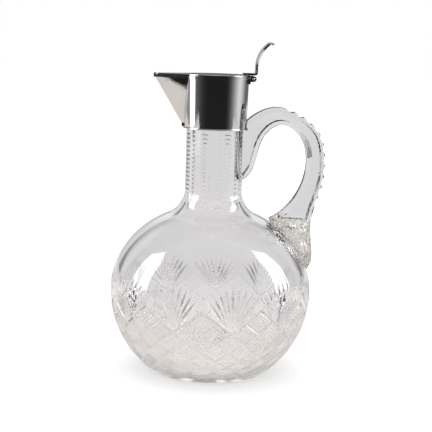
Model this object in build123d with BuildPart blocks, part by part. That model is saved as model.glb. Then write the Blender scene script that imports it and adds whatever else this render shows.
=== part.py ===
from build123d import *
from math import acos, asin, asinh, atan, cos, degrees, hypot, radians, sin, sinh, sqrt, tan
import os

# A claret jug: a cut-glass bottle with an applied glass handle and a silver mount, whose lid
# swings back on a five-knuckle hinge.  Millimetres.  The origin is the centre of the base,
# +Z is up, the spout points along -X, the handle along +X, and the hinge pin lies along Y.

# ---- Bottle ----
body_radius = 66.1  # at the widest circle
equator_height = 53.5  # height of the widest circle
shoulder_rise = 56.2  # from the widest circle to the crown of the shoulder's ellipse
glass_wall = 5.0
base_thickness = 9.0
floor_round = 12.0  # inside, where the floor meets the wall
base_edge_round = 1.0
punt_radius = 30.0  # hollow ground under the base, so that it stands on a ring
punt_depth = 1.2
neck_radius = 19.1
lip_wall = 3.6  # glass between the bore and the seat ground back for the mount
shoulder_blend = 17.0  # hollow curve from neck to shoulder
panel_count = 8  # flat panels cut round the neck
panel_depth = 0.6
panel_runout = 13.0  # radius of the curve by which a panel leaves the shoulder
panel_runout_angle = 70.0

# ---- Cutting on the bottle ----
cut_repeats = 11  # fans round the bottle
cut_angle = -81.4  # of the foot of one fan, seen from above
zigzag_top = 52.0  # heights of the zigzag between the fans and the diamonds
zigzag_bottom = 37.5
diamond_rows = 7
groove_depth = 0.65  # at the corners of the diamonds
groove_half_width = 1.05
facet_depth = 0.02  # of a diamond's own corners
fan_blades = 9
fan_spread = 36.0  # from the upright to the outermost blade
fan_start = 5.0  # of a blade, along the glass from the fan's foot
fan_end = 31.0
blade_half_width = 1.2
cutter_reach = 3.0  # of the diamonds' cutter outside the glass
cutter_flare = 1  # rows by which that cutter widens on its way out

# ---- Handle ----
handle_width = 13.0  # across, along Y
handle_bevel = 3.0  # makes the section eight-sided
notch_count = 11
notch_radius = 4.6
notch_depth = 1.3
notch_first = 0.27  # share of the outer curve's length, from its upper end
notch_last = 0.74
# The side view's curves, each point as a share of the way out from the neck's side to the
# body's widest circle, and a share of the way up from that circle to the mount's foot.
handle_outer_shares = [
    (-0.103, 0.981),
    (0.176, 1.103),
    (0.422, 1.141),
    (0.764, 1.100),
    (1.054, 0.991),
    (1.146, 0.840),
    (1.131, 0.690),
    (1.035, 0.545),
    (0.976, 0.437),
    (0.998, 0.305),
    (1.008, 0.192),
]
handle_inner_shares = [
    (-0.188, 0.662),
    (0.165, 0.808),
    (0.244, 0.934),
    (0.486, 1.034),
    (0.797, 0.958),
    (0.891, 0.822),
    (0.754, 0.601),
    (0.390, 0.451),
]
handle_root_shares = [
    (0.946, 0.136),
    (0.711, 0.136),
]
mount_clearance = 0.2  # the handle's root stands clear of the silver

# ---- Mount ----
mount_height = 34.0
mount_bottom = 160.0
mount_step = 1.2  # of the mount's foot outside the neck's glass
mount_flare = 0.9  # of the rim beyond the foot
silver_gauge = 0.9  # sheet of the band and the beak
cement_gauge = 1.5  # plaster between the glass and the silver
neck_overlap = 10.0  # how far the mount comes down over the glass
beak_overhang = 19.2  # tip of the beak beyond the band's rim
beak_foot_proud = 1.6  # of the keel's foot outside the mount's foot
beak_half_angle = 26.0  # of the beak's V, seen from above
beak_root_gap = 3.5  # the keel turns upright this far above the mount's foot
rim_wire_height = 1.3
rim_wire_proud = 0.45
foot_wire_radius = 0.6
liner_gauge = 0.8
liner_skirt = 6.0
liner_gap = 0.1  # skirt to glass
foot_gap = 1.2  # the plaster starts this far above the mount's lower edge

# ---- Lid ----
lid_gauge = 1.3
lid_seat_gap = 0.05  # closed lid to rim
lid_margin = 0.2  # of the collar band that the lid's round part overhangs
lid_tip_round = 1.5
lid_tip_gap = 0.3  # to the upstand at the point of the beak
bezel_gauge = 0.8
bezel_depth = 2.5
bezel_gap = 0.4  # bezel to the inside of the band

# ---- Hinge ----
hinge_offset = 2.4  # pin's axis outside the band's top edge
hinge_drop = 0.9  # pin's axis below the rim
knuckle_radius = 1.8
knuckle_length = 2.7
knuckle_gap = 0.12  # end play between neighbours
pin_radius = 0.75
pin_clearance = 0.05  # lid knuckles turn on the pin, the others grip it
pin_end = 0.3  # the pin stands out past the outer knuckles
bearer_height = 3.0
bearer_gap = 0.15  # bearer to a turning knuckle
lug_drop = 1.9  # below the pin's axis, the fixed knuckles' lugs
lug_reach = 2.6  # of the turning knuckles' lugs over the lid's edge

# ---- Thumbpiece ----
thumb_gauge = 1.3
thumb_foot_reach = 6.5  # of the foot, forwards over the lid
thumb_foot_width = 9.0
thumb_waist_width = 7.6
thumb_head_width = 12.0
thumb_heel = 1.0  # behind the pin's axis, where the foot turns up
thumb_bend = 1.2
thumb_stem = 2.4
thumb_curve = 21.0
thumb_curve_angle = 50.0
thumb_curl = 1.8
thumb_curl_angle = 95.0

# ---- Heights and places that follow ----
mount_radius_bottom = neck_radius + mount_step
mount_radius_top = mount_radius_bottom + mount_flare
seat_radius = mount_radius_bottom - silver_gauge - cement_gauge
bore_radius = seat_radius - lip_wall
beak_reach = mount_radius_top + beak_overhang
beak_root_height = mount_height - beak_root_gap
rim_height = mount_bottom + mount_height
lip_height = mount_bottom + neck_overlap
liner_top = lip_height + liner_gauge
lid_bottom = rim_height + lid_seat_gap
lid_top = lid_bottom + lid_gauge
lid_edge_round = lid_gauge / 3
lid_radius = mount_radius_top + lid_margin
hinge_x = mount_radius_top + hinge_offset
hinge_z = rim_height - hinge_drop
knuckle_pitch = knuckle_length + knuckle_gap
barrel_length = 5 * knuckle_length + 4 * knuckle_gap
bearer_face = hinge_x - knuckle_radius - bearer_gap
outside = 100.0  # longer than any reach across the mount

os.makedirs("parts", exist_ok=True)


def save(builder, name):
    """Label a finished piece and write it."""
    builder.part.label = name
    export_step(builder.part, f"parts/{name}.step")


def vessel_section(radius, floor_height, rise, neck, top, edge_round):
    """Half the section of a round vessel: a sphere below its widest circle, an ellipse above."""
    drop = equator_height - floor_height
    turn = degrees(asin(drop / radius))
    with BuildSketch(Plane.XZ) as section:
        with BuildLine():
            floor = Line((0, floor_height), (sqrt(radius**2 - drop**2), floor_height))
            CenterArc((0, equator_height), radius, -turn, turn)
            neck_angle = degrees(acos(neck / radius))
            crown = EllipticalCenterArc((0, equator_height), radius, rise, 0, arc_size=neck_angle)
            Polyline(crown @ 1, (neck, top), (0, top), floor @ 0)
        make_face()
        fillet(section.vertices().sort_by_distance(floor @ 1)[0], radius=edge_round)
    return section.sketch


def band_radius(height):
    """Outside radius of the mount's tapering band."""
    return mount_radius_bottom + mount_flare * (height - mount_bottom) / mount_height


# ---- the cutting's forms ----
ball_centre = Vector(0, 0, equator_height)
half_diamond = 360 / cut_repeats / 4  # a fan spans two diamonds


def stretched(height):
    """Height on the ball as on a map that keeps the angles of small shapes."""
    return asinh(tan(asin((height - equator_height) / body_radius)))


row_drop = (stretched(zigzag_top) - stretched(zigzag_bottom)) / 2
diamond_columns = 4 * cut_repeats


def row_latitude(row):
    """Latitude on the ball of a row of corners, counted down from the zigzag's top."""
    return atan(sinh(stretched(zigzag_top) - row * row_drop))


def on_ball(column, row, outwards):
    """A point off the ball's surface, counted in half diamonds from a top of the zigzag."""
    reach = body_radius + outwards
    spot = Vector(reach * cos(row_latitude(row)), 0, reach * sin(row_latitude(row)))
    return ball_centre + spot.rotate(Axis.Z, cut_angle + (column + 2) * half_diamond)


def zigzag_row(column):
    """Row of the zigzag at a column."""
    return min(column % 4, -column % 4)


def cutter_cover(column, row):
    """The cutter's outer corner over one corner of a diamond."""
    flare = 0
    if row == zigzag_row(column):
        flare = -cutter_flare
    if row >= diamond_rows:
        flare = cutter_flare
    return on_ball(column, row + flare, cutter_reach)


def facets(a, b, c, d):
    """Two triangles over four corners."""
    return [Face(Wire.make_polygon(corners, close=True)) for corners in ((a, b, c), (a, c, d))]


def diamond(column, row):
    """The cutter's faces over the diamond whose top corner is there."""
    corners = ((column + 1, row + 1), (column, row + 2), (column - 1, row + 1), (column, row))
    width = radians(half_diamond)
    scale = body_radius * cos(row_latitude(row + 1))
    inset = groove_half_width * hypot(width, row_drop) / (width * row_drop * scale)
    grooves = [on_ball(x, y, -groove_depth) for x, y in corners]
    facet = [
        on_ball(x + (column - x) * inset, y + (row + 1 - y) * inset, -facet_depth)
        for x, y in corners
    ]
    cover = [cutter_cover(x, y) for x, y in corners]
    faces = facets(*facet) + facets(*cover)
    for here, after in ((0, 1), (1, 2), (2, 3), (3, 0)):
        faces += facets(grooves[here], grooves[after], facet[after], facet[here])
        on_zigzag = all(corners[end][1] == zigzag_row(corners[end][0]) for end in (here, after))
        if on_zigzag or (here < 2 and row == diamond_rows - 1):
            faces += facets(grooves[here], grooves[after], cover[after], cover[here])
    return faces


def on_glass(direction):
    """Where a line from the ball's centre leaves the bottle."""
    rise = shoulder_rise if direction.Z > 0 else body_radius
    across = hypot(direction.X, direction.Y)
    return ball_centre + direction * (1 / hypot(across / body_radius, direction.Z / rise))


def blade(lean):
    """A straight V cutter that runs up from a fan's foot, lean degrees off the upright."""
    latitude = asin((zigzag_bottom - equator_height) / body_radius)
    foot = Vector(cos(latitude), 0, sin(latitude))
    upright = Vector(-sin(latitude), 0, cos(latitude))
    heading = upright.rotate(Axis((0, 0, 0), foot), lean)
    start, middle, end = [
        on_glass(foot * cos(away / body_radius) + heading * sin(away / body_radius))
        for away in (fan_start, (fan_start + fan_end) / 2, fan_end)
    ]
    depth = (middle - (start + end) * 0.5).length
    along = end - start
    across = (middle - ball_centre).cross(along)
    with BuildSketch(Plane(origin=start, x_dir=across, z_dir=along)) as vee:
        corner = (2 * blade_half_width, 2 * depth)
        Polygon((0, 0), corner, (-corner[0], corner[1]), align=None)
    return extrude(vee.sketch, amount=along.length)


diamond_faces = [
    face
    for row in range(diamond_rows)
    for column in range(diamond_columns)
    if (column + row) % 2 == 0 and row >= zigzag_row(column)
    for face in diamond(column, row)
]
diamond_cutter = Solid(Shell(diamond_faces))
fan_cutters = [
    blade(fan_spread * (2 * place / (fan_blades - 1) - 1)).rotate(Axis.Z, cut_angle + 4 * fan * half_diamond)
    for fan in range(cut_repeats)
    for place in range(fan_blades)
]

# ---- glass_body ----
with BuildPart() as glass_solid:
    outer_section = vessel_section(
        body_radius, 0, shoulder_rise, neck_radius, lip_height, base_edge_round
    )
    revolve(outer_section, axis=Axis.Z)
    neck_foot = glass_solid.edges().filter_by(GeomType.CIRCLE).sort_by(Axis.Z)[-2]
    fillet(neck_foot, radius=shoulder_blend)

with BuildPart() as hollow:
    inner_section = vessel_section(
        body_radius - glass_wall,
        base_thickness,
        shoulder_rise - glass_wall,
        bore_radius,
        rim_height,
        floor_round,
    )
    revolve(inner_section, axis=Axis.Z)
    neck_foot = hollow.edges().filter_by(GeomType.CIRCLE).sort_by(Axis.Z)[-2]
    fillet(neck_foot, radius=shoulder_blend + neck_radius - bore_radius)

neck_side = glass_solid.faces().filter_by(GeomType.CYLINDER).sort_by(Axis.Z)[-1]
blend_top = neck_side.bounding_box().min.Z
panel_face = neck_radius - panel_depth
with BuildSketch(Plane.XZ) as panel_section:
    with BuildLine():
        runout_centre = (panel_face + panel_runout, blend_top)
        runout = CenterArc(runout_centre, panel_runout, 180, panel_runout_angle)
        Polyline(
            runout @ 1,
            (panel_face + panel_runout, mount_bottom),
            (panel_face, mount_bottom),
            runout @ 0,
        )
    make_face()

with BuildPart() as glass_form:
    add(glass_solid.part)
    panel_cut = extrude(panel_section.sketch, amount=neck_radius, both=True, mode=Mode.PRIVATE)
    for panel in range(panel_count):
        add(panel_cut.rotate(Axis.Z, panel * 360 / panel_count), mode=Mode.SUBTRACT)

with BuildPart() as glass_body:
    add(glass_form.part)
    add(fan_cutters, mode=Mode.SUBTRACT)
    add(diamond_cutter, mode=Mode.SUBTRACT)
    add(hollow.part, mode=Mode.SUBTRACT)
    with BuildSketch(Plane.XY.offset(lip_height)):
        Circle(mount_radius_bottom)
        Circle(seat_radius, mode=Mode.SUBTRACT)
    extrude(amount=foot_gap - neck_overlap, mode=Mode.SUBTRACT)
    with BuildSketch():
        Circle(punt_radius)
    extrude(amount=punt_depth, mode=Mode.SUBTRACT)
save(glass_body, "glass_body")

# ---- glass_handle ----
handle_run = body_radius - neck_radius
handle_rise = mount_bottom - equator_height
handle_outer, handle_inner, handle_root = [
    [(neck_radius + across * handle_run, equator_height + up * handle_rise) for across, up in shares]
    for shares in (handle_outer_shares, handle_inner_shares, handle_root_shares)
]
with BuildSketch(Plane.XZ) as handle_side:
    with BuildLine():
        outer_edge = Spline(*handle_outer)
        inner_edge = Spline(*handle_inner)
        Line(outer_edge @ 0, inner_edge @ 0)
        Polyline(outer_edge @ 1, *handle_root, inner_edge @ 1)
    make_face()

notch_spots = []
for notch in range(notch_count):
    share = notch_first + (notch_last - notch_first) * notch / (notch_count - 1)
    surface = outer_edge @ share
    along = (outer_edge % share).normalized()
    outwards = Vector(0, 0, 1).cross(along)
    spot = surface + outwards * (notch_radius - notch_depth)
    notch_spots.append(Pos(spot.X, 0, spot.Y) * Rot(90, 0, 0))

with BuildPart() as glass_handle:
    extrude(handle_side.sketch, amount=handle_width / 2, both=True)
    sides = glass_handle.faces().filter_by(Axis.Y)
    chamfer(sides.edges(), length=handle_bevel)
    with Locations(*notch_spots):
        Cylinder(notch_radius, handle_width, mode=Mode.SUBTRACT)
    add(glass_form.part, mode=Mode.SUBTRACT)
    with BuildSketch(Plane.XY.offset(mount_bottom - mount_clearance)):
        Circle(mount_radius_bottom + foot_wire_radius + mount_clearance)
    extrude(amount=mount_height, mode=Mode.SUBTRACT)
save(glass_handle, "glass_handle")

# ---- the mount's forms ----
with BuildPart() as band_form:
    with BuildSketch(Plane.XY.offset(mount_bottom)):
        Circle(mount_radius_bottom)
    with BuildSketch(Plane.XY.offset(rim_height)):
        Circle(mount_radius_top)
    loft()

with BuildPart() as band_hollow:
    with BuildSketch(Plane.XY.offset(mount_bottom)):
        Circle(mount_radius_bottom - silver_gauge)
    with BuildSketch(Plane.XY.offset(rim_height)):
        Circle(mount_radius_top - silver_gauge)
    loft()

keel_foot = mount_radius_bottom + beak_foot_proud
keel = Vector(beak_reach - keel_foot, 0, -beak_root_height)


def beak_plan(tip_x, height, tip_round=0):
    """The beak's V from above, its point at tip_x and its open end inside the band."""
    length = -tip_x - mount_radius_top / 2
    half_width = length * tan(radians(beak_half_angle))
    with BuildSketch(Plane.XY.offset(height)) as plan:
        with BuildLine():
            Polyline(
                (tip_x, 0),
                (tip_x + length, half_width),
                (tip_x + length, -half_width),
                close=True,
            )
        make_face()
        if tip_round:
            fillet(plan.vertices().sort_by(Axis.X)[0], radius=tip_round)
    return plan.sketch


lid_tip_x = lid_tip_round * (1 / sin(radians(beak_half_angle)) - 1) - beak_reach - rim_wire_proud
keel_gauge = silver_gauge / sin(radians(beak_half_angle))
with BuildPart() as beak_form:
    extrude(beak_plan(-beak_reach, rim_height), amount=keel.length, dir=keel)
    heel_top = rim_height - beak_root_height
    heel_height = heel_top - mount_bottom - 2 * foot_wire_radius
    extrude(beak_plan(-keel_foot, heel_top), amount=-heel_height)
    split(bisect_by=Plane.YZ, keep=Keep.BOTTOM)

with BuildPart() as beak_channel:
    extrude(beak_plan(keel_gauge - beak_reach, rim_height), amount=keel.length, dir=keel)
    split(bisect_by=Plane.YZ, keep=Keep.BOTTOM)

with BuildPart() as pouring_window:
    add(beak_channel.part)
    with BuildSketch(Plane.XY.offset(liner_top)):
        Rectangle(outside, outside)
    extrude(amount=mount_height, mode=Mode.INTERSECT)

# ---- collar_band ----
with BuildPart() as collar_band:
    add(band_form.part)
    add(band_hollow.part, mode=Mode.SUBTRACT)
    add(pouring_window.part, mode=Mode.SUBTRACT)
save(collar_band, "collar_band")

# ---- spout_beak ----
with BuildPart() as spout_beak:
    add(beak_form.part)
    add(beak_channel.part, mode=Mode.SUBTRACT)
    add(band_form.part, mode=Mode.SUBTRACT)
save(spout_beak, "spout_beak")

# ---- upper_rim_wire ----
with BuildPart() as upper_rim_wire:
    with BuildSketch(Plane.XY.offset(rim_height)) as rim_plan:
        Circle(mount_radius_top)
        add(beak_plan(-beak_reach, rim_height))
        offset(amount=rim_wire_proud, kind=Kind.ARC)
    extrude(amount=-rim_wire_height)
    add(band_form.part, mode=Mode.SUBTRACT)
    add(beak_form.part, mode=Mode.SUBTRACT)
    with BuildSketch(Plane.XY.offset(rim_height)):
        add(rim_plan.sketch)
        with Locations((lid_tip_x - lid_tip_gap, 0)):
            Rectangle(outside, outside, align=(Align.MAX, Align.CENTER), mode=Mode.INTERSECT)
    extrude(amount=lid_top - rim_height)
save(upper_rim_wire, "upper_rim_wire")

# ---- lower_rim_wire ----
with BuildPart() as lower_rim_wire:
    with BuildSketch(Plane.XZ):
        with Locations((mount_radius_bottom, mount_bottom + foot_wire_radius)):
            Circle(foot_wire_radius)
    revolve(axis=Axis.Z)
    add(band_form.part, mode=Mode.SUBTRACT)
    with BuildSketch(Plane.XY.offset(mount_bottom)):
        Circle(mount_radius_bottom)
    extrude(amount=2 * foot_wire_radius, mode=Mode.SUBTRACT)
save(lower_rim_wire, "lower_rim_wire")

# ---- cement_ring ----
with BuildPart() as cement_ring:
    with BuildSketch(Plane.XY.offset(mount_bottom + foot_gap)):
        Circle(mount_radius_top)
        Circle(seat_radius, mode=Mode.SUBTRACT)
    extrude(amount=neck_overlap - foot_gap)
    add(band_hollow.part, mode=Mode.INTERSECT)
save(cement_ring, "cement_ring")

# ---- neck_liner ----
with BuildPart() as neck_liner:
    skirt_radius = bore_radius - liner_gap
    with BuildSketch(Plane.XY.offset(lip_height)):
        Circle(mount_radius_top)
        Circle(skirt_radius - liner_gauge, mode=Mode.SUBTRACT)
    extrude(amount=liner_gauge)
    add(band_hollow.part, mode=Mode.INTERSECT)
    with BuildSketch(Plane.XY.offset(lip_height)):
        Circle(skirt_radius)
        Circle(skirt_radius - liner_gauge, mode=Mode.SUBTRACT)
    extrude(amount=-liner_skirt)
save(neck_liner, "neck_liner")

# ---- lid_plate ----
with BuildPart() as lid_plate:
    with BuildSketch(Plane.XY.offset(lid_bottom)):
        Circle(lid_radius)
        add(beak_plan(-beak_reach - rim_wire_proud, lid_bottom, lid_tip_round))
    extrude(amount=lid_gauge)
    fillet(lid_plate.faces().sort_by(Axis.Z)[-1].edges(), radius=lid_edge_round)
save(lid_plate, "lid_plate")

# ---- lid_bezel ----
with BuildPart() as lid_bezel:
    bezel_radius = band_radius(lid_bottom - bezel_depth) - silver_gauge - bezel_gap
    with BuildSketch(Plane.XY.offset(lid_bottom)):
        Circle(bezel_radius)
        Circle(bezel_radius - bezel_gauge, mode=Mode.SUBTRACT)
    extrude(amount=-bezel_depth)
save(lid_bezel, "lid_bezel")

# ---- hinge ----
hinge_plane = Plane(origin=(hinge_x, 0, hinge_z), x_dir=(1, 0, 0), z_dir=(0, 1, 0))


def knuckle(place, bore, lug_corners):
    """One hinge knuckle, counted from the middle, with the lug that joins it to its leaf."""
    start = place * knuckle_pitch - knuckle_length / 2
    with BuildPart() as piece:
        with BuildSketch(hinge_plane.offset(start)):
            Circle(knuckle_radius)
        extrude(amount=knuckle_length)
        with BuildSketch(Plane.XZ.offset(-start)):
            with BuildLine():
                Polyline(*lug_corners, close=True)
            make_face()
        extrude(amount=-knuckle_length)
        with BuildSketch(hinge_plane.offset(start)):
            Circle(bore)
        extrude(amount=knuckle_length, mode=Mode.SUBTRACT)
    return piece


fixed_lug = [
    (bearer_face, hinge_z),
    (hinge_x, hinge_z),
    (hinge_x, hinge_z - lug_drop),
    (bearer_face, hinge_z - lug_drop),
]
for place, side in ((-2, "left"), (0, "centre"), (2, "right")):
    fixed_knuckle = knuckle(place, pin_radius, fixed_lug)
    save(fixed_knuckle, f"hinge_knuckle_{side}")

turning_lug = [
    (lid_radius, lid_bottom),
    (hinge_x, lid_bottom),
    (hinge_x, hinge_z + knuckle_radius),
    (lid_radius - lug_reach, lid_top - lid_edge_round),
    (lid_radius - lug_reach, lid_bottom),
]
for place, side in ((-1, "left"), (1, "right")):
    lid_knuckle = knuckle(place, pin_radius + pin_clearance, turning_lug)
    with BuildPart() as trimmed:
        add(lid_knuckle.part)
        add(lid_plate.part, mode=Mode.SUBTRACT)
    save(trimmed, f"lid_knuckle_{side}")

with BuildPart() as hinge_pin:
    with BuildSketch(hinge_plane.offset(-barrel_length / 2 - pin_end)):
        Circle(pin_radius)
    extrude(amount=barrel_length + 2 * pin_end)
    chamfer(hinge_pin.edges().filter_by(GeomType.CIRCLE), length=pin_end / 2)
save(hinge_pin, "hinge_pin")

with BuildPart() as hinge_bearer:
    bearer_top = rim_height - rim_wire_height
    with BuildSketch(Plane.XY.offset(bearer_top)):
        with Locations((bearer_face, 0)):
            Rectangle(hinge_x, barrel_length, align=(Align.MAX, Align.CENTER))
    extrude(amount=-bearer_height)
    with BuildSketch(Plane.XY.offset(rim_height)):
        Rectangle(mount_radius_bottom, outside)
    extrude(amount=-mount_height, mode=Mode.SUBTRACT)
    add(band_form.part, mode=Mode.SUBTRACT)
save(hinge_bearer, "hinge_bearer")

# ---- thumbpiece ----
thumb_rise = lid_top + thumb_gauge / 2
thumb_heel_x = hinge_x + thumb_heel
with BuildPart() as thumbpiece:
    with BuildSketch(Plane.XZ) as thumb_side:
        with BuildLine():
            thumb_foot = Line((hinge_x - thumb_foot_reach, thumb_rise), (thumb_heel_x, thumb_rise))
            heel = JernArc(thumb_foot @ 1, thumb_foot % 1, thumb_bend, 90)
            stem = Line(heel @ 1, heel @ 1 + Vector(0, thumb_stem))
            sweep_back = JernArc(stem @ 1, stem % 1, thumb_curve, -thumb_curve_angle)
            JernArc(sweep_back @ 1, sweep_back % 1, thumb_curl, -thumb_curl_angle)
        trace(line_width=thumb_gauge)
    extrude(amount=thumb_head_width, both=True)
    thumb_head_z = (sweep_back @ 1).Y
    stem_foot_z = (stem @ 0).Y
    with BuildSketch(Plane.YZ):
        with BuildLine():
            head = Spline(
                (thumb_foot_width / 2, stem_foot_z),
                (thumb_waist_width / 2, stem_foot_z + thumb_curve / 3),
                (thumb_head_width / 2, thumb_head_z - thumb_curl),
                (0, thumb_head_z + 2 * thumb_curl),
            )
            Polyline(head @ 0, (thumb_foot_width / 2, hinge_z), (0, hinge_z), head @ 1)
        make_face()
        mirror(about=Plane.YZ)
    extrude(amount=outside, mode=Mode.INTERSECT)
save(thumbpiece, "thumbpiece")
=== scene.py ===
from math import asin, cos, hypot, pi, radians, sin, sqrt

import bpy
import numpy as np
from mathutils import Matrix, Vector
from mathutils.bvhtree import BVHTree


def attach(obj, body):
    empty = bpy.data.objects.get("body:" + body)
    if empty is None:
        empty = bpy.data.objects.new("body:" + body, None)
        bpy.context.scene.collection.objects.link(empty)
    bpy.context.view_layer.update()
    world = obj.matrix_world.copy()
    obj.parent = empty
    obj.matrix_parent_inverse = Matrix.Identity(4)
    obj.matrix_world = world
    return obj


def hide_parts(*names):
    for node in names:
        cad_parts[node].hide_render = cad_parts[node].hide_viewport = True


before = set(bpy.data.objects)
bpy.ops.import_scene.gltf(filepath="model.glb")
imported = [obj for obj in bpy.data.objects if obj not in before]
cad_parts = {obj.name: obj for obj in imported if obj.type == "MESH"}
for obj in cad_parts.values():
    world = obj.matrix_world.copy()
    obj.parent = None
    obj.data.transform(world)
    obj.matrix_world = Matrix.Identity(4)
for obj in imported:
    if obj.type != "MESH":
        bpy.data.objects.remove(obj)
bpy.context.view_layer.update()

# The claret jug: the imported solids, with a cut-glass bottle in place of the plain one.
# Blender's lengths are metres; the bottle's profile and its cutting are worked out in millimetres.
MM_PER_M = 1000.0

# ---- Bottle, as the solid has it (mm) ----
BODY_RADIUS = 66.1
EQUATOR_Z = 53.5
SHOULDER_RISE = 56.2
WALL = 5.0
FLOOR_Z = 9.0
FLOOR_ROUND = 12.0
FOOT_ROUND = 1.0
PUNT_RADIUS = 30.0
PUNT_DEPTH = 1.2
NECK_RADIUS = 19.1
BORE_RADIUS = 14.3
NECK_BLEND = 17.0
SEAT_RADIUS = 17.9
SEAT_Z = 161.2
LIP_Z = 170.0
PANELS = 8
PANEL_FACE = 18.5
PANEL_RUNOUT = 13.0

# ---- Cutting (mm and degrees) ----
REPEATS = 11
VALLEY_ANGLE = -81.4  # a low point of the zigzag, seen a little right of the front
PEAK_Z = 52.0
VALLEY_Z = 37.5
LATTICE_STEPS = 2  # cuts per repeat below the zigzag
LATTICE_LOW_Z = 3.5
LATTICE_FADE = 1.5
GROOVE_HALF = 1.05
GROOVE_DEPTH = 0.8
ZIGZAG_SWELL = 1.15  # the zigzag is cut this much wider and deeper than the grooves
HATCH_STEPS = 6
HATCH_HALF = 0.9
HATCH_DEPTH = 0.5
FAN_BLADES = 9
FAN_SPREAD = 36.0
FAN_START = 2.5
FAN_END = 31.0
BLADE_HALF = 1.2
NOTCH_PITCH = 2.74
NOTCH_DEPTH = 0.5
NOTCH_SLOPE = 0.7
NOTCH_LOW_Z = 113.0
NOTCH_HIGH_Z = 158.0
STAR_POINTS = 20
STAR_DEPTH = 0.9
STAR_START = 0.8  # the innermost ring
STAR_TAPER = 0.3  # power by which the arms run out
STAR_ARM = 0.95  # an arm's width at its foot, of the room it has
STAR_RISE = 6.0  # the arms are at full depth from one sixth of the way out

# ---- Mesh (mm) ----
COLUMNS = 880  # points round the cut side; half as many round the neck, a quarter inside
CUT_TOP_Z = 84.0  # above the fans, where the fine rings end
CUT_STEP = 0.46
SHOULDER_TOP_Z = 108.0  # below the neck's notches, where fine rings start again
SHOULDER_STEP = 1.3
NECK_STEP = 0.457
INNER_STEP = 1.6
LIP_CHAMFER = 0.4
BORE_CHAMFER = 0.3
STAR_RINGS = 26
PUNT_EDGE = 0.05  # width of the step from the punt to the ground ring
FOOT_POINTS = 5
FOOT_EDGE = 1.0  # where the foot's fine rings start, inside its round
FLOOR_POINTS = 12
FLOOR_MIDDLE = 2.0  # radius of the floor's innermost ring
PROFILE_LOW = -60.0  # degrees below the equator
PROFILE_POINTS = (1500, 6000, 400)  # along the ball, the shoulder and the hollow below the neck
STRETCH_GAP = 0.01  # between two stretches of a profile, so that no height comes twice
SHARP_ANGLE = 24.0  # degrees between faces that keep a crisp edge
POLE_SINE = 0.95  # of the latitude where the cutting stops short of the poles
TINY = 1e-6  # in place of nought, where a length divides


def material(name):
    """An empty material, with its nodes."""
    mat = bpy.data.materials.new(name)
    mat.use_nodes = True
    mat.node_tree.nodes.clear()
    return mat, Nodes(mat.node_tree)


class Nodes:
    """Short calls for building a node tree."""

    def __init__(self, tree):
        self.tree = tree

    def put(self, socket, value):
        """Links another node's output, or sets a plain value."""
        if isinstance(value, bpy.types.NodeSocket):
            self.tree.links.new(value, socket)
        else:
            socket.default_value = value

    def add(self, kind, settings=None, **inputs):
        """A node, with its settings and the inputs that it is given by name."""
        node = self.tree.nodes.new(kind)
        for key, value in (settings or {}).items():
            setattr(node, key, value)
        for key, value in inputs.items():
            self.put(node.inputs[key.replace("_", " ")], value)
        return node

    def operate(self, kind, operation, values):
        """A node that does sums, with its inputs in order."""
        node = self.add(kind, {"operation": operation})
        for socket, value in zip(node.inputs, values):
            self.put(socket, value)
        return node.outputs

    def math(self, operation, *values):
        return self.operate("ShaderNodeMath", operation, values)[0]

    def vector(self, operation, *values):
        return self.operate("ShaderNodeVectorMath", operation, values)

    def step(self, value, low, high, start=0.0, end=1.0):
        """A smooth step from start to end as value goes from low to high."""
        node = self.add(
            "ShaderNodeMapRange",
            {"interpolation_type": "SMOOTHSTEP"},
            Value=value,
            From_Min=low,
            From_Max=high,
            To_Min=start,
            To_Max=end,
        )
        return node.outputs["Result"]

    def window(self, value, low, high, soft):
        """1 between low and high, with edges of that softness."""
        rise = self.step(value, low - soft / 2, low + soft / 2)
        fall = self.step(value, high - soft / 2, high + soft / 2, 1.0, 0.0)
        return self.math("MULTIPLY", rise, fall)

    def mix(self, share, a, b):
        """A number going from a to b."""
        node = self.add("ShaderNodeMix", Factor=share)
        self.put(node.inputs[2], a)
        self.put(node.inputs[3], b)
        return node.outputs[0]

    def colour(self, share, a, b):
        """A colour going from a to b."""
        node = self.add("ShaderNodeMix", {"data_type": "RGBA"}, Factor=share)
        self.put(node.inputs[6], a)
        self.put(node.inputs[7], b)
        return node.outputs[2]

    def noise(self, vector, scale, detail, roughness=0.5):
        node = self.add(
            "ShaderNodeTexNoise", Vector=vector, Scale=scale, Detail=detail, Roughness=roughness
        )
        return node.outputs["Fac"]

    def place(self):
        """The point on the object, in its own coordinates."""
        return self.add("ShaderNodeTexCoord").outputs["Object"]

    def attribute(self, name):
        """What the mesh stores at each of its points under that name."""
        return self.add("ShaderNodeAttribute", {"attribute_name": name}).outputs["Fac"]

    def stretch(self, vector, scale):
        node = self.add("ShaderNodeMapping", Vector=vector, Scale=scale)
        return node.outputs["Vector"]

    def bump(self, height, strength, distance, normal=None):
        node = self.add("ShaderNodeBump", Height=height, Strength=strength, Distance=distance)
        if normal is not None:
            self.put(node.inputs["Normal"], normal)
        return node.outputs["Normal"]

    def blend(self, share, a, b):
        """A shader going from a to b."""
        node = self.add("ShaderNodeMixShader", Fac=share)
        self.put(node.inputs[1], a.outputs[0])
        self.put(node.inputs[2], b.outputs[0])
        return node

    def out(self, shader, kind="ShaderNodeOutputMaterial"):
        self.add(kind, Surface=shader)


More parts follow.
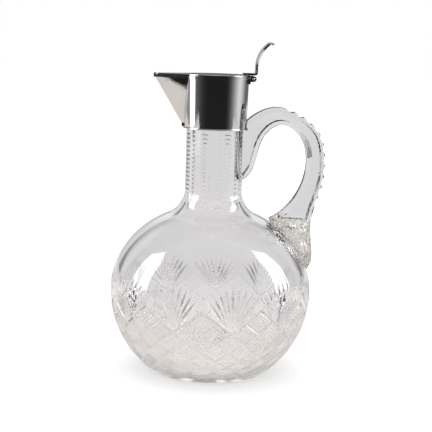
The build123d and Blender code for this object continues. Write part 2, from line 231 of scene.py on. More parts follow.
# ---- Materials ----
WHITE = (1.0, 1.0, 1.0, 1.0)
GLASS_IOR = 1.54
CLEAR = (0.975, 0.968, 0.978, 1.0)
GLASS_SHADOW = (0.86, 0.86, 0.87, 1.0)
GLASS_ROUGHNESS = (0.0, 0.02)
CUT_SHADE_TINT = (0.03, 0.03, 0.03, 1.0)  # painted shade in the neck's notches, full on the spout's side, and faintly in the rest of the cutting
DRAWN_TINT = (0.98, 0.975, 0.99, 1.0)  # the handle's thicker places
ROOT_TINT = (0.97, 0.95, 0.92, 1.0)
CREASE_SHADE_TINT = (0.78, 0.74, 0.69, 1.0)
HANDLE_ROOT_Z = 0.103  # below this the drawn glass is crumpled onto the bottle
ROOT_FADE = 0.006
LOOP_MIDDLE = {"X": 0.048, "Z": 0.137}  # of the handle's opening
NOTCH_FACING = (-0.004, 0.004)  # from facing the opening to facing away from it
NOTCH_FADE = 0.004
NOTCH_SHINE = (0.03, 0.03, 0.03, 1.0)
NOTCH_ROUGHNESS = 0.01
SHINE_ROUGHNESS = 0.05
GROWN_RADIUS = 0.0195  # within this the handle's glass is one with the neck's
GROWN_FADE = 0.0001
GROWN_SQUARE = (0.5, 0.6)  # how squarely that face looks at the axis


def glass_surface(n, place, tint, normal):
    """Clear glass, with streaks left by wiping."""
    wipes = n.noise(n.stretch(place, (1.0, 1.0, 0.35)), scale=60.0, detail=4.0, roughness=0.6)
    return n.add(
        "ShaderNodeBsdfPrincipled",
        Base_Color=tint,
        Roughness=n.step(wipes, 0.35, 0.75, *GLASS_ROUGHNESS),
        IOR=GLASS_IOR,
        Transmission_Weight=1.0,
        Normal=normal,
    )


def striae(n, place):
    """The faint upright waves of blown and drawn glass."""
    waves = n.noise(n.stretch(place, (1.0, 1.0, 0.25)), scale=22.0, detail=2.0)
    return n.bump(waves, strength=0.12, distance=0.0012)


def show_glass(n, surface, grown):
    """Passes lamps' light straight through, and drops the surface where grown is 1."""
    joined = n.blend(grown, surface, n.add("ShaderNodeBsdfTransparent", Color=WHITE))
    clear = n.add("ShaderNodeBsdfTransparent", Color=GLASS_SHADOW)
    shadow = n.add("ShaderNodeLightPath").outputs["Is Shadow Ray"]
    n.out(n.blend(shadow, joined, clear).outputs[0])


def ground_notches(n, place, surface, tint, normal):
    """The handle's outer, notched edge, whose cut facets mirror little."""
    geometry = n.add("ShaderNodeNewGeometry")
    spot = n.add("ShaderNodeSeparateXYZ", Vector=place)
    faces = n.add("ShaderNodeSeparateXYZ", Vector=geometry.outputs["True Normal"])
    parts = [
        n.math("MULTIPLY", faces.outputs[axis], n.math("SUBTRACT", spot.outputs[axis], middle))
        for axis, middle in LOOP_MIDDLE.items()
    ]
    sign = n.step(geometry.outputs["Backfacing"], 0.0, 1.0, 1.0, -1.0)  # the same from inside
    outward = n.math("MULTIPLY", n.math("ADD", *parts), sign)
    above = n.step(spot.outputs["Z"], HANDLE_ROOT_Z, HANDLE_ROOT_Z + NOTCH_FADE)
    bent = n.add(
        "ShaderNodeBsdfRefraction",
        Color=tint,
        Roughness=NOTCH_ROUGHNESS,
        IOR=GLASS_IOR,
        Normal=normal,
    )
    shine = n.add(
        "ShaderNodeBsdfAnisotropic",
        Color=NOTCH_SHINE,
        Roughness=SHINE_ROUGHNESS,
        Normal=normal,
    )
    fresnel = n.add("ShaderNodeFresnel", IOR=GLASS_IOR, Normal=normal).outputs[0]
    notched = n.math("MULTIPLY", n.step(outward, *NOTCH_FACING), above)
    return n.blend(notched, surface, n.blend(fresnel, bent, shine))


def grown_face(n, place):
    """1 on the handle's end face, where its glass has run into the neck's."""
    level = n.stretch(place, (1.0, 1.0, 0.0))
    across = n.vector("LENGTH", level)["Value"]
    spoke = n.vector("NORMALIZE", level)["Vector"]
    facing = n.add("ShaderNodeNewGeometry").outputs["True Normal"]
    lean = n.vector("DOT_PRODUCT", spoke, facing)["Value"]
    square = n.step(n.math("ABSOLUTE", lean), *GROWN_SQUARE)
    near = n.step(across, GROWN_RADIUS, GROWN_RADIUS + GROWN_FADE, 1.0, 0.0)
    return n.math("MULTIPLY", square, near)


def cut_glass():
    """The bottle's glass, with shade painted in by the depth of the cutting."""
    mat, n = material("cut_glass")
    place = n.place()
    # Painted shade: the cutting is tinted dark by its depth, most in the neck's notches on the spout's
    # side.
    tint = n.colour(n.attribute("cut_shade"), CLEAR, CUT_SHADE_TINT)
    surface = glass_surface(n, place, tint, striae(n, place))
    show_glass(n, surface, n.attribute("grown"))
    return mat


def drawn_glass():
    """The handle's glass: rippled as it was drawn, and crumpled where it meets the body, with shade
    painted into the creases.
    """
    mat, n = material("drawn_glass")
    place = n.place()
    height = n.add("ShaderNodeSeparateXYZ", Vector=place).outputs["Z"]
    root = n.step(height, HANDLE_ROOT_Z - ROOT_FADE, HANDLE_ROOT_Z, 1.0, 0.0)
    folds = n.noise(n.stretch(place, (1.0, 1.0, 0.6)), scale=130.0, detail=3.0, roughness=0.6)
    crumple = n.math("MULTIPLY", folds, root)
    normal = n.bump(crumple, strength=1.0, distance=0.012, normal=striae(n, place))
    ripple = n.noise(place, scale=240.0, detail=2.0)
    normal = n.bump(ripple, strength=0.2, distance=0.0008, normal=normal)
    # Painted shade: the creases of the crumpled root are tinted darker.
    crease_shade = n.math("MULTIPLY", n.window(folds, 0.42, 0.52, soft=0.06), root)
    clouds = n.noise(place, scale=75.0, detail=4.0, roughness=0.6)
    drawn = n.colour(n.step(clouds, 0.35, 0.65), DRAWN_TINT, WHITE)
    tint = n.colour(crease_shade, n.colour(root, drawn, ROOT_TINT), CREASE_SHADE_TINT)
    surface = glass_surface(n, place, tint, normal)
    show_glass(n, ground_notches(n, place, surface, tint, normal), grown_face(n, place))
    return mat


SILVER_BRIGHT = (0.70, 0.695, 0.70, 1.0)
SILVER_DULL = (0.57, 0.56, 0.56, 1.0)
SILVER_ROUGHNESS = (0.01, 0.06)
TARNISH = 0.5  # at most, of the way from bright to dull
SPECK_ROUGHNESS = 0.02
THUMB_WEAR = 0.2  # added roughness where the lid is pushed
PLASTER_DARK = (0.62, 0.59, 0.54, 1.0)
PLASTER_PALE = (0.78, 0.76, 0.72, 1.0)
PLASTER_ROUGHNESS = (0.75, 0.95)


def silver(name, wear=0.0):
    """Polished silver, rubbed round the collar, slightly dented and tarnished in clouds."""
    mat, n = material(name)
    place = n.place()
    rubbed = n.noise(n.stretch(place, (1.0, 1.0, 5.0)), scale=90.0, detail=6.0, roughness=0.65)
    clouds = n.noise(place, scale=35.0, detail=4.0)
    specks = n.noise(place, scale=900.0, detail=2.0)
    tarnish = n.math("MULTIPLY", n.step(clouds, 0.45, 0.75), TARNISH)
    rough = n.step(rubbed, 0.3, 0.8, *SILVER_ROUGHNESS)
    rough = n.math("ADD", rough, n.math("MULTIPLY", specks, SPECK_ROUGHNESS))
    dents = n.bump(clouds, strength=0.03, distance=0.0010)
    surface = n.add(
        "ShaderNodeBsdfPrincipled",
        Base_Color=n.colour(tarnish, SILVER_BRIGHT, SILVER_DULL),
        Metallic=1.0,
        Roughness=n.math("ADD", rough, wear),
        Normal=n.bump(rubbed, strength=0.02, distance=0.0002, normal=dents),
    )
    n.out(surface.outputs[0])
    return mat


def plaster():
    """The set plaster under the silver, grainy and unevenly stained."""
    mat, n = material("plaster")
    place = n.place()
    grain = n.noise(place, scale=1400.0, detail=4.0, roughness=0.7)
    patches = n.noise(place, scale=160.0, detail=3.0)
    surface = n.add(
        "ShaderNodeBsdfPrincipled",
        Base_Color=n.colour(patches, PLASTER_DARK, PLASTER_PALE),
        Roughness=n.step(grain, 0.3, 0.7, *PLASTER_ROUGHNESS),
        Normal=n.bump(grain, strength=0.4, distance=0.0003),
    )
    n.out(surface.outputs[0])
    return mat


finishes = {
    "cut_glass": cut_glass(),
    "drawn_glass": drawn_glass(),
    "silver": silver("silver"),
    "worn_silver": silver("worn_silver", THUMB_WEAR),
    "plaster": plaster(),
}
FINISH_OF = {
    "glass_body": "cut_glass",
    "glass_handle": "drawn_glass",
    "cement_ring": "plaster",
    "thumbpiece": "worn_silver",
}
for name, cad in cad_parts.items():
    for slot in cad.material_slots:
        slot.material = finishes[FINISH_OF.get(name, "silver")]


# ---- The bottle's profiles (mm) ----
def blended_profile(radius, rise, neck, blend):
    """Points (radius, height) up a round vessel's side, from low on the sphere to the neck."""
    on_ball, on_crown, on_hollow = PROFILE_POINTS
    low = np.radians(np.linspace(PROFILE_LOW, 0.0, on_ball))
    sphere = np.stack([radius * np.cos(low), EQUATOR_Z + radius * np.sin(low)], 1)
    up = np.linspace(0.0, pi / 2, on_crown)
    crown = np.stack([radius * np.cos(up), EQUATOR_Z + rise * np.sin(up)], 1)
    normal = np.stack([np.cos(up) / radius, np.sin(up) / rise], 1)
    normal /= np.linalg.norm(normal, axis=1)[:, None]
    centres = crown + blend * normal
    last = int(np.argmin(np.abs(centres[:, 0] - (neck + blend))))
    centre = centres[last]
    contact = np.arctan2(-normal[last, 1], -normal[last, 0])
    turn = np.linspace(contact % (2 * pi), pi, on_hollow)
    hollow = centre + blend * np.stack([np.cos(turn), np.sin(turn)], 1)
    return np.concatenate([sphere, crown[1:last], hollow]), centre[1]


def resample(points, step):
    """The same line with even spacing close to step."""
    run = np.concatenate([[0.0], np.cumsum(np.linalg.norm(np.diff(points, axis=0), axis=1))])
    count = max(2, int(round(run[-1] / step)) + 1)
    at = np.linspace(0.0, run[-1], count)
    return np.stack([np.interp(at, run, points[:, i]) for i in (0, 1)], 1)


def between(points, low, high):
    """The part of a rising line from height low to height high."""
    inside = points[(points[:, 1] > low) & (points[:, 1] < high)]
    ends = [(np.interp(z, points[:, 1], points[:, 0]), z) for z in (low, high)]
    return np.concatenate([[ends[0]], inside, [ends[1]]])


outer, blend_top = blended_profile(BODY_RADIUS, SHOULDER_RISE, NECK_RADIUS, NECK_BLEND)
inner, _ = blended_profile(
    BODY_RADIUS - WALL, SHOULDER_RISE - WALL, BORE_RADIUS, NECK_BLEND + NECK_RADIUS - BORE_RADIUS
)


# ---- Cutting ----
def groove(distance, half, depth):
    """Depth of a V cut at that distance from its middle."""
    return depth * np.clip(1.0 - np.abs(distance) / half, 0.0, 1.0)


def turn_between(angle, centre, period):
    """Signed angle from the nearest of the centres that repeat each period."""
    return (angle - centre + period / 2) % period - period / 2


def latitude(height):
    """The angle up from the equator, on the ball that carries the cutting."""
    return np.arcsin(np.clip((height - EQUATOR_Z) / BODY_RADIUS, -POLE_SINE, POLE_SINE))


def blade_plane(lean):
    """A fan blade's foot and heading as unit vectors, for a fan facing +X."""
    low = latitude(VALLEY_Z)
    foot = np.array([cos(low), 0.0, sin(low)])
    upright = np.array([-sin(low), 0.0, cos(low)])
    east = np.array([0.0, 1.0, 0.0])
    return foot, upright * cos(radians(lean)) + east * sin(radians(lean))


def glass_reach(direction):
    """How far the bottle's side is from the ball's centre in a direction."""
    rise = SHOULDER_RISE if direction[2] > 0 else BODY_RADIUS
    return 1.0 / np.hypot(np.hypot(direction[0], direction[1]) / BODY_RADIUS, direction[2] / rise)


def fan(angle, height, radius):
    """Straight V cuts spreading upwards from each low point of the zigzag."""
    turn = turn_between(angle, radians(VALLEY_ANGLE), 2 * pi / REPEATS)
    point = np.stack([radius * np.cos(turn), radius * np.sin(turn), height - EQUATOR_Z])
    cut = np.zeros_like(radius)
    for lean in np.linspace(-FAN_SPREAD, FAN_SPREAD, FAN_BLADES):
        foot, heading = blade_plane(lean)
        ends = []
        for away in (FAN_START, (FAN_START + FAN_END) / 2, FAN_END):
            share = away / BODY_RADIUS
            reach = glass_reach(foot * cos(share) + heading * sin(share))
            ends.append(np.array([cos(share), sin(share)]) * reach)
        start, middle, end = ends
        run = end - start
        deepest = np.linalg.norm(middle - (start + end) / 2)
        along, up = heading @ point, foot @ point
        away = np.hypot(along, up)
        squarely = np.maximum((up * run[1] - along * run[0]) / away, TINY)
        edge = (start[0] * run[1] - start[1] * run[0]) / squarely
        off = np.abs(np.cross(foot, heading) @ point)
        run_out = np.arctan2(along, up) * BODY_RADIUS
        inside = (run_out > FAN_START) & (run_out < FAN_END)
        cut = np.maximum(cut, np.where(inside, away - edge - off * deepest / BLADE_HALF, 0.0))
    return cut


def lattice(angle, height, radius):
    """The zigzag and the diamonds below it, striped and cross-hatched in alternate rows."""
    period = 2 * pi / REPEATS
    level = np.arcsinh(np.tan(latitude(height)))
    top, bottom = [np.arcsinh(np.tan(latitude(z))) for z in (PEAK_Z, VALLEY_Z)]
    slope = (top - bottom) / (period / 2)
    drop = (top - level) / slope
    turn = angle - radians(VALLEY_ANGLE) + period / 2
    spread = radius / sqrt(1 + 1 / slope**2)
    cell = period / LATTICE_STEPS
    left, right = turn - drop, turn + drop
    cut = np.zeros_like(radius)
    for line in (left, right):
        off = turn_between(line, 0.0, cell)
        cut = np.maximum(cut, groove(off * spread, GROOVE_HALF, GROOVE_DEPTH))
    fine = cell / HATCH_STEPS
    crossed = (np.floor(left / cell) + np.floor(right / cell)) % 2 == 1
    for line, where in ((left, True), (right, crossed)):
        off = turn_between(line, 0.0, fine)
        cut = np.maximum(cut, np.where(where, groove(off * spread, HATCH_HALF, HATCH_DEPTH), 0.0))
    zig = np.abs(turn_between(turn, 0.0, period))
    under = drop - zig
    edge = groove(under * spread, GROOVE_HALF * ZIGZAG_SWELL, GROOVE_DEPTH * ZIGZAG_SWELL)
    fade = np.clip((height - LATTICE_LOW_Z) / LATTICE_FADE, 0.0, 1.0)
    return np.maximum(np.where(under > 0, cut, 0.0), edge) * fade


def body_cut(angle, height, radius):
    """Depth cut from the bottle's side, in mm."""
    return np.maximum(lattice(angle, height, radius), fan(angle, height, radius))


def neck_radius(angle, height, radius):
    """The neck's flat panels and the notches along the bands between them."""
    dip = np.clip(blend_top - height, 0.0, PANEL_RUNOUT)
    face = PANEL_FACE + PANEL_RUNOUT - np.sqrt(PANEL_RUNOUT**2 - dip**2)
    panel = turn_between(angle, 0.0, 2 * pi / PANELS)
    flat = face / np.cos(panel)
    band = turn_between(angle, pi / PANELS, 2 * pi / PANELS)
    off = np.abs(turn_between(height, NOTCH_LOW_Z, NOTCH_PITCH))
    notch = (radius - NOTCH_DEPTH + off * NOTCH_SLOPE) / np.cos(band)
    notch = np.where((height > NOTCH_LOW_Z) & (height < NOTCH_HIGH_Z), notch, radius)
    return np.minimum(np.minimum(radius, flat), notch)


# ---- The bottle's mesh ----
class Rings:
    """Rings of vertices about the axis, each joined to the one before it."""

    def __init__(self):
        self.points = []
        self.faces = []
        self.last = None
        self.count = 0

    def keep(self, points):
        """Adds a ring's points, and the faces between it and the last one."""
        ring = np.arange(self.count, self.count + len(points))
        self.points.append(points)
        self.count += len(points)
        if self.last is not None:
            self.join(self.last, ring)
        self.last = ring

    def ring(self, radii, heights, angles):
        """Radii and heights are single numbers, or one for each angle."""
        flat = np.zeros_like(angles)
        self.keep(np.stack([radii * np.cos(angles), radii * np.sin(angles), heights + flat], 1))

    def pole(self, height):
        """A point on the axis, where the rings start or end."""
        self.keep(np.array([[0.0, 0.0, height]]))

    def join(self, below, above):
        """Faces between two rings, where one may have half the other's points or be a pole."""
        a, b = np.roll(below, -1), np.roll(above, -1)
        if len(below) == len(above):
            faces = [(below, a, b, above)]
        elif len(below) == 1:
            faces = [(np.full_like(above, below[0]), above, b)]
        elif len(above) == 1:
            faces = [(below, a, np.full_like(below, above[0]))]
        elif len(below) > len(above):
            first, second, third = below[0::2], below[1::2], a[1::2]
            faces = [(first, second, above), (second, third, b), (second, b, above)]
        else:
            first, second, third = above[0::2], above[1::2], b[1::2]
            faces = [(below, second, first), (below, a, second), (a, third, second)]
        for corners in faces:
            self.faces.extend(np.stack(corners, 1).tolist())

    def mesh(self, name):
        made = bpy.data.meshes.new(name)
        made.from_pydata((np.concatenate(self.points) / MM_PER_M).tolist(), [], self.faces)
        made.validate()
        made.update()
        return made


def bottom_round(radius, flat_z, curve, count):
    """The arc from a flat bottom up into the side of a ball of that radius."""
    angle = asin((EQUATOR_Z - flat_z - curve) / (radius - curve))
    middle = np.array([(radius - curve) * cos(angle), flat_z + curve])
    turn = np.linspace(-pi / 2, -angle, count)
    return middle + curve * np.stack([np.cos(turn), np.sin(turn)], 1)


def angles_of(count):
    """That many angles evenly round the axis."""
    return np.arange(count) * 2 * pi / count


FULL = angles_of(COLUMNS)
HALF = angles_of(COLUMNS // 2)
FEW = angles_of(COLUMNS // 4)


def add_punt(rings):
    """The hollow underneath, with its cut star."""
    pitch = 2 * pi / STAR_POINTS
    rings.pole(PUNT_DEPTH)
    for radius in np.linspace(STAR_START, PUNT_RADIUS, STAR_RINGS):
        share = radius / PUNT_RADIUS
        off = turn_between(FEW, 0.0, pitch) * radius
        star = groove(off, radius * pitch / 2 * STAR_ARM, STAR_DEPTH * (1 - share) ** STAR_TAPER)
        rings.ring(radius, PUNT_DEPTH + star * min(1.0, share * STAR_RISE), FEW)
    rings.ring(PUNT_RADIUS + PUNT_EDGE, 0.0, FEW)


def add_cut_side(rings):
    """The foot, and the ball with its cutting."""
    foot = bottom_round(BODY_RADIUS, 0.0, FOOT_ROUND, FOOT_POINTS)
    rings.ring(foot[0, 0] - FOOT_EDGE, 0.0, HALF)
    for radius, height in foot:
        rings.ring(radius, height, FULL)
    side = resample(between(outer, foot[-1, 1], CUT_TOP_Z), CUT_STEP)
    slope = np.gradient(side, axis=0)
    slope /= np.linalg.norm(slope, axis=1)[:, None]
    for (radius, height), (run, rise) in zip(side[1:], slope[1:]):
        depth = body_cut(FULL, np.full_like(FULL, height), np.full_like(FULL, radius))
        rings.ring(radius - depth * rise, height + depth * run, FULL)


def add_neck(rings):
    """The plain shoulder, the panelled and notched neck, and the seat for the mount."""
    for radius, height in resample(between(outer, CUT_TOP_Z, SHOULDER_TOP_Z), SHOULDER_STEP)[1:]:
        rings.ring(radius, height, HALF)
    line = between(outer, SHOULDER_TOP_Z, blend_top - STRETCH_GAP)
    line = np.concatenate([line, [[NECK_RADIUS, SEAT_Z]]])
    for radius, height in resample(line, NECK_STEP)[1:]:
        rings.ring(neck_radius(HALF, height, radius), height, HALF)
    rings.ring(SEAT_RADIUS, SEAT_Z, FEW)
    rings.ring(SEAT_RADIUS, LIP_Z - LIP_CHAMFER, FEW)
    rings.ring(SEAT_RADIUS - LIP_CHAMFER, LIP_Z, FEW)


def add_inside(rings):
    """Down the bore and the wall, and across the floor."""
    floor = bottom_round(BODY_RADIUS - WALL, FLOOR_Z, FLOOR_ROUND, FLOOR_POINTS)
    wall = between(inner, floor[-1, 1], inner[-1, 1] - STRETCH_GAP)
    bore = [[BORE_RADIUS, LIP_Z - BORE_CHAMFER], [BORE_RADIUS + BORE_CHAMFER, LIP_Z]]
    line = np.concatenate([floor[:-1], wall, bore])
    for radius, height in resample(line, INNER_STEP)[::-1]:
        rings.ring(radius, height, FEW)
    for radius in np.linspace(floor[0, 0], FLOOR_MIDDLE, FLOOR_POINTS)[1:]:
        rings.ring(radius, FLOOR_Z, FEW)
    rings.pole(FLOOR_Z)


def build_bottle():
    """The whole bottle as one closed mesh, from the punt up the outside and down the inside."""
    rings = Rings()
    for add_part in (add_punt, add_cut_side, add_neck, add_inside):
        add_part(rings)
    mesh = rings.mesh("bottle")
    mesh.shade_smooth()
    mesh.set_sharp_from_angle(angle=radians(SHARP_ANGLE))
    mesh.materials.append(finishes["cut_glass"])
    bottle = bpy.data.objects.new("bottle", mesh)
    bpy.context.scene.collection.objects.link(bottle)
    return bottle


# ---- Marks that the glass reads from the bottle's mesh ----
SHADE_GROWS_AT = (11.0, 15.0)  # mm from the axis towards the spout, where the painted shade grows to full
NOTCH_SHADE_FAINT = 0.15  # painted shade in the notches away from the spout
NOTCH_SHADE_DEPTH = 0.3  # mm, where a notch's painted shade is full
CUT_SHADE_FAINT = 0.14  # painted shade at a groove's full depth in the body's cutting


def mark(bottle, name, values):
    """Stores one value at each point of the mesh, which the material reads by name."""
    bottle.data.attributes.new(name, "FLOAT", "POINT").data.foreach_set("value", values)


def mark_cut_shade(bottle):
    """Paints shade into the cutting by its depth: the neck's notches well, most on the spout's side,
    the body's cuts faintly.
    """
    x, y, height = np.array([vertex.co for vertex in bottle.data.vertices]).T * MM_PER_M
    across, turn = np.hypot(x, y), np.arctan2(y, x)
    whole = np.minimum(NECK_RADIUS, PANEL_FACE / np.cos(turn_between(turn, 0.0, 2 * pi / PANELS)))
    shade_share = np.clip((whole - across) / NOTCH_SHADE_DEPTH, 0.0, 1.0)
    shade_share *= np.interp(-x, SHADE_GROWS_AT, (NOTCH_SHADE_FAINT, 1.0))
    shade_share[(height < blend_top) | (height > NOTCH_HIGH_Z) | (across < SEAT_RADIUS)] = 0.0
    side = (height < CUT_TOP_Z) & (np.hypot(across, height - EQUATOR_Z) > BODY_RADIUS - WALL / 2)
    shade_share[side] = body_cut(turn[side], height[side], across[side]) / GROOVE_DEPTH * CUT_SHADE_FAINT
    mark(bottle, "cut_shade", shade_share)


def mark_grown(bottle, handle):
    """Marks the neck's glass behind the handle's end face, where the two are one."""
    tree = BVHTree.FromPolygons(
        [vertex.co for vertex in handle.data.vertices],
        [face.vertices for face in handle.data.polygons],
    )
    grown = []
    for x, y, z in [vertex.co for vertex in bottle.data.vertices]:
        across = hypot(x, y)
        outside = SEAT_RADIUS / MM_PER_M < across < GROWN_RADIUS and z > CUT_TOP_Z / MM_PER_M
        reach = None
        if outside and x > 0.0:
            spoke = Vector((x / across, y / across, 0.0))
            reach = tree.ray_cast(Vector((0.0, 0.0, z)), spoke)[3]
        grown.append(float(reach is not None and reach < GROWN_RADIUS))
    mark(bottle, "grown", grown)


bottle = build_bottle()
mark_cut_shade(bottle)
mark_grown(bottle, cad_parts["glass_handle"])
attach(bottle, "jug")
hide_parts("glass_body")

# ---- Floor ----
FLOOR_LOW = (-1.4, -0.60)
FLOOR_HIGH = (1.4, 2.2)
FLOOR_Z_BELOW = -0.0002  # a hair under the foot
FLOOR_COLOUR = (0.80, 0.80, 0.80, 1.0)
FLOOR_ROUGHNESS = (0.8, 0.95)
FLOOR_LIFT = 0.46  # added where the floor is seen directly
FLOOR_MIRRORED = 0.90  # the floor as the silver shows it, with painted shade in front on the left
FLOOR_SHADE_MIRRORED = 0.014
FLOOR_SHADE_X = (-0.36, -0.20)
FLOOR_SHADE_Y = (-0.30, -0.167)
FLOOR_SHADE_SLANT = 0.125
FLOOR_SHADE_EDGE = 0.002
FLOOR_POOL_LIGHT = 1.0  # the floor as seen through the glass, close by and far off: a painted pool of light, brighter and warmer by the jug
FLOOR_BEHIND = 0.73
POOL_FADE_AT = (0.06, 0.30)
WARM = (1.0, 0.945, 0.885, 1.0)
POOL_WARM_WITHIN = (0.05, 0.25)


def floor_material():
    """The floor as the camera sees it, as the silver mirrors it with painted shade, and as it shows
    through glass with a painted pool of light.
    """
    mat, n = material("floor")
    path = n.add("ShaderNodeLightPath").outputs
    spot = n.place()
    away = n.vector("LENGTH", spot)["Value"]
    x, y, _ = n.add("ShaderNodeSeparateXYZ", Vector=spot).outputs
    # Painted shade on the floor in front on the left, which only the silver's reflections show.
    straight = n.math("SUBTRACT", y, n.math("MULTIPLY", x, FLOOR_SHADE_SLANT))
    mirrored_shade = n.window(x, *FLOOR_SHADE_X, FLOOR_SHADE_EDGE)
    mirrored_shade = n.math("MULTIPLY", mirrored_shade, n.window(straight, *FLOOR_SHADE_Y, FLOOR_SHADE_EDGE))
    grain = n.noise(spot, scale=40.0, detail=3.0)
    lit = n.add(
        "ShaderNodeBsdfPrincipled",
        Base_Color=FLOOR_COLOUR,
        Roughness=n.step(grain, 0.3, 0.7, *FLOOR_ROUGHNESS),
        Specular_IOR_Level=0.0,
    )
    lift = n.add("ShaderNodeEmission", Strength=n.math("MULTIPLY", path["Is Camera Ray"], FLOOR_LIFT))
    seen = n.add("ShaderNodeAddShader")
    n.put(seen.inputs[0], lit.outputs[0])
    n.put(seen.inputs[1], lift.outputs[0])
    mirrored = n.add("ShaderNodeEmission", Color=WARM, Strength=n.mix(mirrored_shade, FLOOR_MIRRORED, FLOOR_SHADE_MIRRORED))
    # Painted pool of light: through the glass the floor glows brighter and warmer close to the jug.
    through = n.add(
        "ShaderNodeEmission",
        Color=n.colour(n.step(away, *POOL_WARM_WITHIN), WARM, WHITE),
        Strength=n.step(away, *POOL_FADE_AT, FLOOR_POOL_LIGHT, FLOOR_BEHIND),
    )
    shown = n.blend(path["Is Glossy Ray"], seen, mirrored)
    n.out(n.blend(path["Is Transmission Ray"], shown, through).outputs[0])
    return mat


def lay_floor():
    """A pale sheet under the jug, part of the stage and not of the jug."""
    (left, front), (right, back) = FLOOR_LOW, FLOOR_HIGH
    corners = [(left, front), (right, front), (right, back), (left, back)]
    mesh = bpy.data.meshes.new("floor")
    mesh.from_pydata([(x, y, FLOOR_Z_BELOW) for x, y in corners], [], [(0, 1, 2, 3)])
    mesh.materials.append(floor_material())
    floor = bpy.data.objects.new("floor", mesh)
    bpy.context.scene.collection.objects.link(floor)


lay_floor()

# ---- Light ----
CAMERA_TURN = 4.0  # degrees from -Y towards -X; the room is measured from the camera
AMBIENT = 0.92
ROOM_DARK = 0.019
RIGHT_GLOW_AT = (25.0, 98.0)  # degrees round from the camera, as are the next three
RIGHT_FADE_AT = (90.0, 135.0)
LEFT_GLOW_AT = (0.0, -110.0)
WALL_AT = (150.0, 165.0)
RIGHT_GLOW_POWER = 2.2
RIGHT_FADE = (0.95, 0.15)
LEFT_GLOW_POWER = 3.0
LEFT_GLOW = 0.35
STRIPE_RISES = (-9.0, 12.0)  # a dark stripe in the pale wall behind the jug
STRIPE_EDGE = 4.0
CEILING_RISES = (45.0, 70.0)
CEILING_BRIGHT = 0.55
SOFTBOX_EDGE = 3.0
SOFTBOX_TOP_EDGE = 2.0
SOFTBOXES = (  # from and to, in degrees round and up, brightness, and its top's slope to each side
    ((-106.0, -80.0), (-30.0, 2.0), 2.2, 0.0),
    ((-102.0, -76.0), (2.0, 51.0), 8.0, 0.9),
    ((81.0, 104.0), (3.0, 57.0), 8.0, 1.1),
)
BACKDROP = 0.765
OVERHEAD = 0.15
OVERHEAD_FROM = (30.0, 40.0)
FRAME_AT = (30.0, 42.0)  # degrees out from the backdrop's middle
FRAME_GREY = 0.20
FLAG_AT = (98.0, 126.0)  # degrees round from the camera, either way
FLAG_DARK = 0.05
FLAG_RISES = (-40.0, 50.0)
FLAG_EDGE = 6.0
FLAG_TOP_EDGE = 15.0
TOP_SIZE = (1.6, 1.2)
TOP_PLACE = (-0.15, 0.25, 1.5)
TOP_TILT = (-10.0, -6.0)  # degrees about X and Y
TOP_ENERGY = 3.0


def softbox(n, turn, rise, turns, rises, bright, gable):
    """A lit rectangle whose top falls away to either side by that slope."""
    across = n.window(turn, *turns, SOFTBOX_EDGE)
    off = n.math("ABSOLUTE", n.math("SUBTRACT", turn, sum(turns) / 2))
    roof = n.math("ADD", rise, n.math("MULTIPLY", off, gable))
    above = n.step(rise, rises[0] - SOFTBOX_TOP_EDGE, rises[0] + SOFTBOX_TOP_EDGE)
    below = n.step(roof, rises[1] - SOFTBOX_TOP_EDGE, rises[1] + SOFTBOX_TOP_EDGE, 1.0, 0.0)
    return n.math("MULTIPLY", n.math("MULTIPLY", across, n.math("MULTIPLY", above, below)), bright)


def mirrored_room(n, turn, rise):
    """What the silver and the glass mirror: a dark room that brightens to either side."""
    right = n.math("POWER", n.step(turn, *RIGHT_GLOW_AT), RIGHT_GLOW_POWER)
    right = n.math("MULTIPLY", right, n.step(turn, *RIGHT_FADE_AT, *RIGHT_FADE))
    left = n.math("POWER", n.step(turn, *LEFT_GLOW_AT), LEFT_GLOW_POWER)
    glow = n.math("ADD", right, n.math("MULTIPLY", left, LEFT_GLOW))
    room = n.math("ADD", ROOM_DARK, glow)
    wall = n.step(n.math("ABSOLUTE", turn), *WALL_AT)
    unstriped = n.math("SUBTRACT", 1.0, n.window(rise, *STRIPE_RISES, STRIPE_EDGE))
    room = n.math("MAXIMUM", room, n.math("MULTIPLY", wall, unstriped))
    room = n.math("MAXIMUM", room, n.step(rise, *CEILING_RISES, 0.0, CEILING_BRIGHT))
    for box in SOFTBOXES:
        room = n.math("MAXIMUM", room, softbox(n, turn, rise, *box))
    return room


def room_through_glass(n, turn, rise):
    """What shows through the glass: a pale backdrop in a grey frame, and a dark flag either side."""
    side = n.math("ABSOLUTE", turn)
    facing = n.math(
        "MULTIPLY",
        n.math("COSINE", n.math("RADIANS", side)),
        n.math("COSINE", n.math("RADIANS", rise)),
    )
    aside = n.math("SUBTRACT", 180.0, n.math("DEGREES", n.math("ARCCOSINE", facing)))
    room = BACKDROP
    for angle, limits, level in ((aside, FRAME_AT, FRAME_GREY), (side, FLAG_AT, FLAG_DARK)):
        upright = n.window(rise, *FLAG_RISES, FLAG_TOP_EDGE)
        flag = n.math("MULTIPLY", n.window(angle, *limits, FLAG_EDGE), upright)
        room = n.mix(flag, room, level)
    return n.mix(n.step(rise, *OVERHEAD_FROM), room, OVERHEAD)


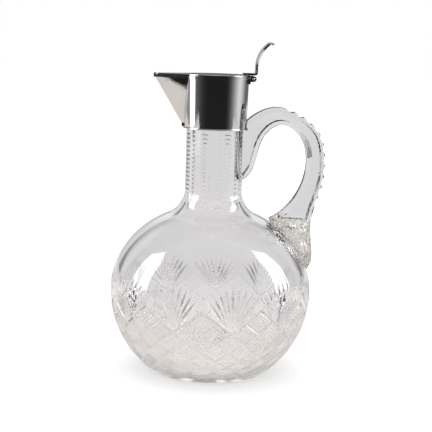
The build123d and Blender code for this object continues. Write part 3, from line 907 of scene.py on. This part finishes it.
def build_studio():
    """The world: white to the camera, and its own tones for mirroring and through glass."""
    world = bpy.data.worlds.new("studio")
    world.use_nodes = True
    world.node_tree.nodes.clear()
    world.cycles.sampling_method = "NONE"
    bpy.context.scene.world = world
    n = Nodes(world.node_tree)
    direction = n.add("ShaderNodeTexCoord").outputs["Generated"]
    x, y, z = n.add("ShaderNodeSeparateXYZ", Vector=direction).outputs
    turn = n.math("MULTIPLY", n.math("ARCTAN2", x, n.math("MULTIPLY", y, -1.0)), 180 / pi)
    turn = n.math("ADD", turn, CAMERA_TURN)  # 0 towards the camera, positive to its right
    rise = n.math("MULTIPLY", n.math("ARCSINE", z), 180 / pi)
    path = n.add("ShaderNodeLightPath").outputs
    level = n.mix(path["Is Glossy Ray"], AMBIENT, mirrored_room(n, turn, rise))
    level = n.mix(path["Is Transmission Ray"], level, room_through_glass(n, turn, rise))
    level = n.mix(path["Is Camera Ray"], level, 1.0)
    sky = n.add("ShaderNodeBackground", Color=WHITE, Strength=level)
    n.out(sky.outputs[0], "ShaderNodeOutputWorld")


def hang_top_light():
    """Casts the soft shadow on the floor, and is seen nowhere itself."""
    light = bpy.data.lights.new("top_softbox", "AREA")
    light.shape = "RECTANGLE"
    light.size, light.size_y = TOP_SIZE
    light.energy = TOP_ENERGY
    lamp = bpy.data.objects.new("top_softbox", light)
    lamp.location = TOP_PLACE
    lamp.rotation_euler = (radians(TOP_TILT[0]), radians(TOP_TILT[1]), 0.0)
    for way in ("camera", "glossy", "transmission"):
        setattr(lamp, f"visible_{way}", False)
    bpy.context.scene.collection.objects.link(lamp)


build_studio()
hang_top_light()

# ---- Camera ----
CAMERA_RISE = 8.8  # degrees
CAMERA_ROLL = 1.8
CAMERA_DISTANCE = 0.790
CAMERA_AIM = Vector((0.0, 0.0, 0.1023))
CAMERA_LENS = 99.75
CAMERA_SHIFT = 0.0088
BOUNCES = 32  # cut glass passes a ray through many faces before it leaves


def place_camera():
    """The camera, fitted to the photograph's outline."""
    turn, rise, roll = radians(CAMERA_TURN), radians(CAMERA_RISE), radians(CAMERA_ROLL)
    back = Vector((-sin(turn) * cos(rise), -cos(turn) * cos(rise), sin(rise)))
    right = (-back).cross(Vector((0, 0, 1))).normalized()
    up = right.cross(-back)
    rolled_right = right * cos(roll) + up * sin(roll)
    rolled_up = up * cos(roll) - right * sin(roll)
    axes = Matrix((rolled_right, rolled_up, back)).transposed().to_4x4()
    lens = bpy.data.cameras.new("camera")
    lens.lens = CAMERA_LENS
    lens.shift_x = CAMERA_SHIFT
    camera = bpy.data.objects.new("camera", lens)
    camera.matrix_world = Matrix.Translation(CAMERA_AIM + back * CAMERA_DISTANCE) @ axes
    bpy.context.scene.collection.objects.link(camera)
    bpy.context.scene.camera = camera


place_camera()
bpy.context.scene.view_settings.view_transform = "Standard"
for limit in ("max_bounces", "glossy_bounces", "transmission_bounces"):
    setattr(bpy.context.scene.cycles, limit, BOUNCES)
